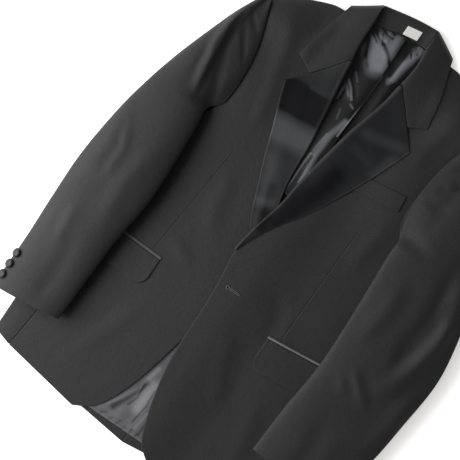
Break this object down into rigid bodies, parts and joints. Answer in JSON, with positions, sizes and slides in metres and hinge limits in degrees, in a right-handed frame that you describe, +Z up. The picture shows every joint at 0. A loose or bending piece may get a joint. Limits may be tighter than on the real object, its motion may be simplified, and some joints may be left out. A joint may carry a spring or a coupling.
{
  "type": "tailored jacket",
  "caption": "Black dinner jacket laid flat on its back, fronts lapping, with satin notch lapels, flap pockets and covered buttons.",
  "frame": {"origin": "middle of the jacket's width and length, on the surface it lies on", "axes": "+Y from hem to collar, +X to the wearer's left (the viewer's right, seen from above), +Z up out of the fronts"},
  "size_m": [0.6345, 0.7875, 0.051],
  "materials": {
    "wool": "matt black twill",
    "satin": "black satin, soft sheen",
    "lining": "grey-black satin lining, shiny",
    "label": "plain white woven label",
    "covered_button": "cloth-covered button"
  },
  "bodies": {
    "root": {"back_left": "wool", "back_right": "wool", "side_left": "wool", "side_right": "wool", "front_left": "wool", "front_right": "wool", "lapel_left": "satin", "lapel_right": "satin", "collar_left": "wool", "collar_right": "wool", "collar_back": "wool", "sleeve_top_left": "wool", "sleeve_top_right": "wool", "sleeve_under_left": "wool", "sleeve_under_right": "wool", "flap_left": "wool", "flap_right": "wool", "jet_left": "satin", "jet_right": "satin", "breast_welt": "wool", "lining_neck_left": "lining", "lining_neck_right": "lining", "lining_hem": "lining", "neck_label": "label", "front_button": "covered_button", "cuff_button_right_1": "covered_button", "cuff_button_right_2": "covered_button", "cuff_button_right_3": "covered_button", "cuff_button_left_1": "covered_button", "cuff_button_left_2": "covered_button", "cuff_button_left_3": "covered_button"}
  },
  "joints": []
}
